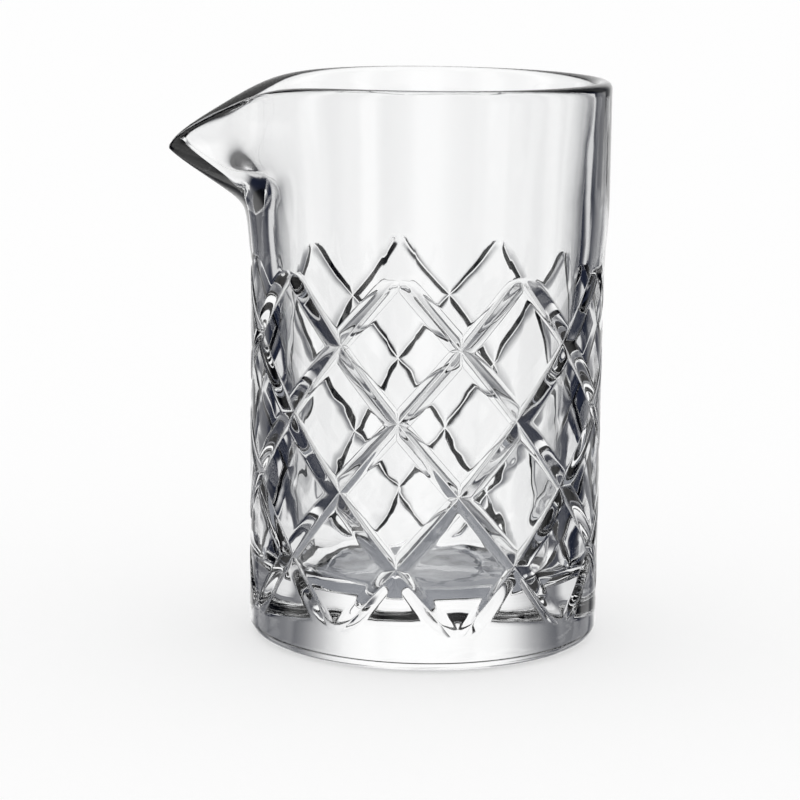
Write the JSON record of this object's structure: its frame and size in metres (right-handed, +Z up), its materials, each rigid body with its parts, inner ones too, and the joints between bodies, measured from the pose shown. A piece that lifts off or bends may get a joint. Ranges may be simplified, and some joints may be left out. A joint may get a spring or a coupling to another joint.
{
  "type": "mixing glass",
  "caption": "Heavy clear mixing glass with a diamond lattice cut into its side and a pouring beak pulled from its rim, for stirring and straining drinks.",
  "frame": {"origin": "middle of the flat underside, on the axis of the round body", "axes": "+Z up along the body's axis, -X towards the tip of the pouring beak, +Y to complete a right-handed set"},
  "size_m": [0.1094, 0.0899, 0.14],
  "materials": {
    "clear_glass": "fire-polished clear glass"
  },
  "bodies": {
    "root": {"glass_body": "clear_glass"}
  },
  "joints": []
}
